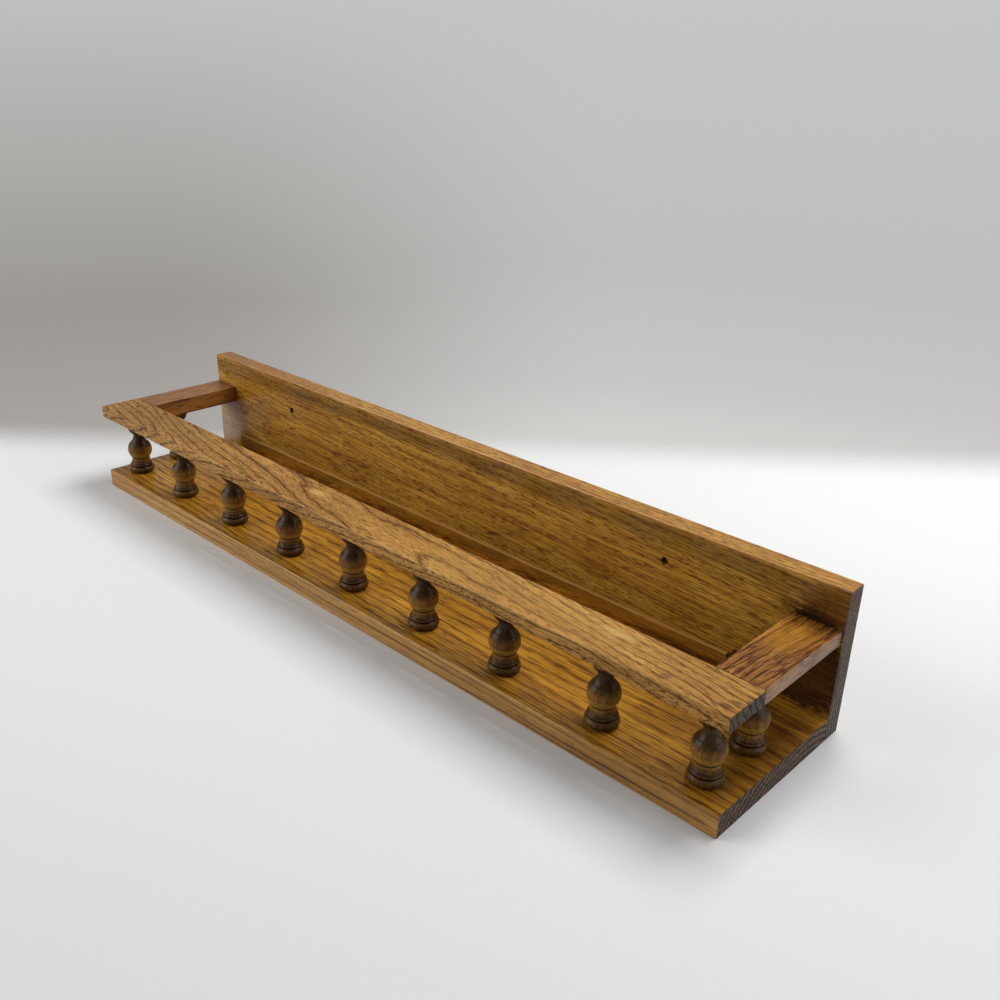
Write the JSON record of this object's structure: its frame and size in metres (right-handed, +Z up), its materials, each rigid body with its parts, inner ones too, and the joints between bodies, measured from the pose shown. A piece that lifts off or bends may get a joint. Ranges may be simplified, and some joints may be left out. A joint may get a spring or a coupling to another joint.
{
  "type": "wall plate rack",
  "caption": "Wall-hung oak plate rack: a back board and a shelf board, with turned spindles carrying a front rail and two side rails.",
  "frame": {"origin": "centre of the footprint on the underside of the shelf board", "axes": "+X along the rack, to the right as seen from the front; +Y towards the wall; +Z up"},
  "size_m": [0.65, 0.135, 0.102],
  "materials": {
    "oak_back": "satin varnish",
    "oak_shelf": "satin varnish",
    "oak_strip": "satin varnish",
    "oak_rail": "satin varnish",
    "oak_side_rail": "satin varnish",
    "stained_spindle": "dark satin varnish",
    "zinc_steel": "zinc plated",
    "beech_dowel": "bare"
  },
  "bodies": {
    "root": {"back_board": "oak_back", "shelf_board": "oak_shelf", "foot_strip": "oak_strip", "front_rail": "oak_rail", "side_rail_left": "oak_side_rail", "side_rail_right": "oak_side_rail", "spindle_front_1": "stained_spindle", "spindle_front_2": "stained_spindle", "spindle_front_3": "stained_spindle", "spindle_front_4": "stained_spindle", "spindle_front_5": "stained_spindle", "spindle_front_6": "stained_spindle", "spindle_front_7": "stained_spindle", "spindle_front_8": "stained_spindle", "spindle_front_9": "stained_spindle", "spindle_side_left": "stained_spindle", "spindle_side_right": "stained_spindle", "shelf_screws": "zinc_steel", "side_rail_screws": "zinc_steel", "corner_dowels": "beech_dowel"}
  },
  "joints": []
}
